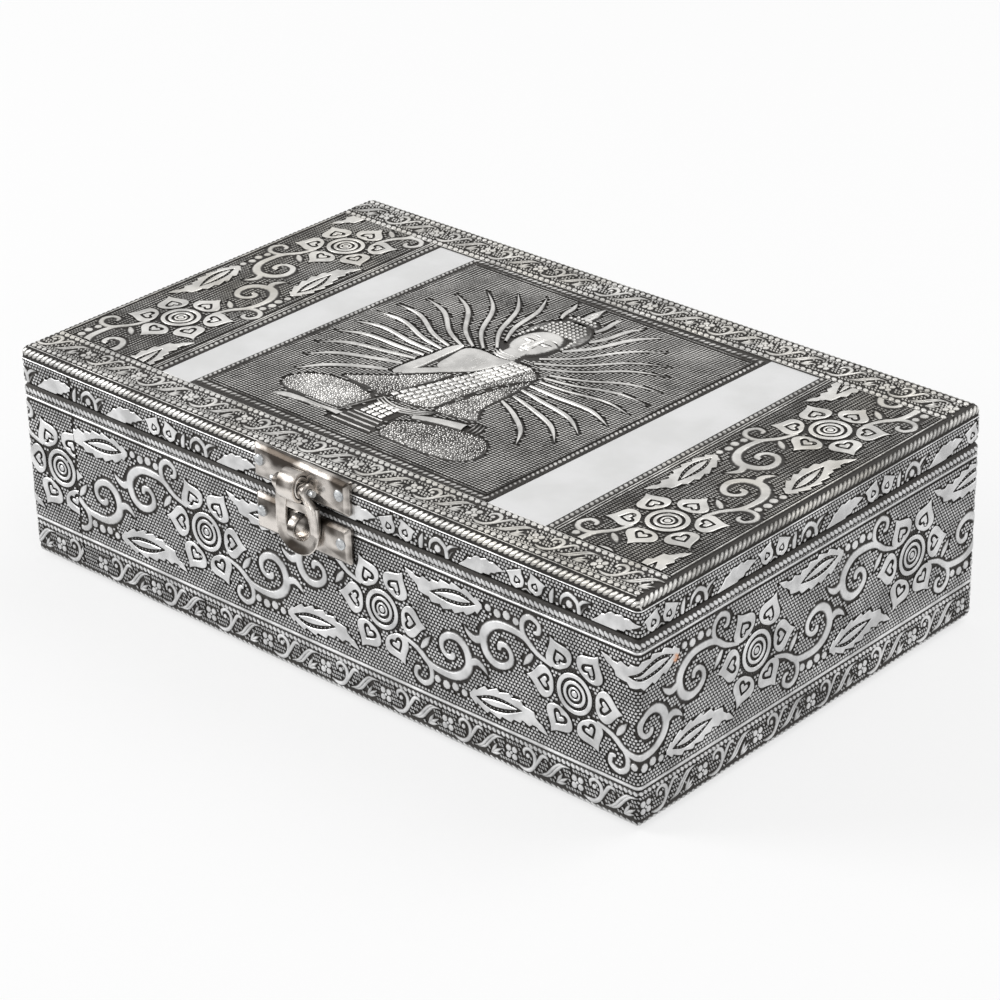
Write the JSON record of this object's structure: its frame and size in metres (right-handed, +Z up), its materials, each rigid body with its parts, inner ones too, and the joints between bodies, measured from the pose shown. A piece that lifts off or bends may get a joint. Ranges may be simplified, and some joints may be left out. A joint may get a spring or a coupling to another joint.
{
  "type": "rosary box",
  "caption": "Hinged keepsake box for a rosary: boards clad in embossed metal sheet, velvet lined, with a swinging hasp clasp in front and butt hinges behind.",
  "frame": {"origin": "centre of the underside, on the face of the felt", "axes": "+X along the length to the right, -Y towards the clasp in front, +Z up"},
  "size_m": [0.203, 0.137, 0.0596],
  "materials": {
    "board": "bare fibreboard, matt",
    "embossed_sheet": "embossed sheet, darkened in its hollows and rubbed bright on its raised pattern",
    "plain_sheet": "plain rolled sheet, satin bright",
    "clasp_nickel": "nickel-plated pressed steel, warm and slightly dulled",
    "hinge_nickel": "nickel-plated steel, dulled",
    "velvet": "short-pile velvet, dark red",
    "felt": "black felt"
  },
  "bodies": {
    "base": {"base_bottom_board": "board", "base_front_board": "board", "base_back_board": "board", "base_left_board": "board", "base_right_board": "board", "base_sheet_front_right": "embossed_sheet", "base_sheet_back_left": "embossed_sheet", "base_floor_lining": "velvet", "base_wall_lining": "velvet", "underside_felt": "felt", "clasp_base_plate": "clasp_nickel", "clasp_base_rivets": "clasp_nickel", "clasp_staple": "clasp_nickel", "hinge_base_leaf_left": "hinge_nickel", "hinge_base_leaf_right": "hinge_nickel", "hinge_pin_left": "hinge_nickel", "hinge_pin_right": "hinge_nickel", "hinge_base_tacks": "hinge_nickel"},
    "lid": {"lid_top_board": "board", "lid_front_rail": "board", "lid_back_rail": "board", "lid_left_rail": "board", "lid_right_rail": "board", "lid_wall_sheet": "embossed_sheet", "lid_front_strip": "embossed_sheet", "lid_back_strip": "embossed_sheet", "lid_left_panel": "embossed_sheet", "lid_right_panel": "embossed_sheet", "lid_picture_panel": "embossed_sheet", "lid_left_plain_strip": "plain_sheet", "lid_right_plain_strip": "plain_sheet", "lid_top_lining": "velvet", "lid_wall_lining": "velvet", "clasp_lid_plate": "clasp_nickel", "clasp_lid_rivets": "clasp_nickel", "clasp_pin": "clasp_nickel", "hinge_lid_leaf_left": "hinge_nickel", "hinge_lid_leaf_right": "hinge_nickel", "hinge_lid_tacks": "hinge_nickel"},
    "hasp": {"clasp_hasp": "clasp_nickel"}
  },
  "joints": [
    {"name": "lid_hinge", "type": "hinge", "parent": "base", "child": "lid", "pos_m": [0, 0.0651, 0.0491], "axis": [-1, 0, 0], "range_deg": [0, 180]},
    {"name": "hasp_hinge", "type": "hinge", "parent": "lid", "child": "hasp", "pos_m": [0, -0.0673, 0.0547], "axis": [-1, 0, 0], "range_deg": [0, 160]}
  ]
}
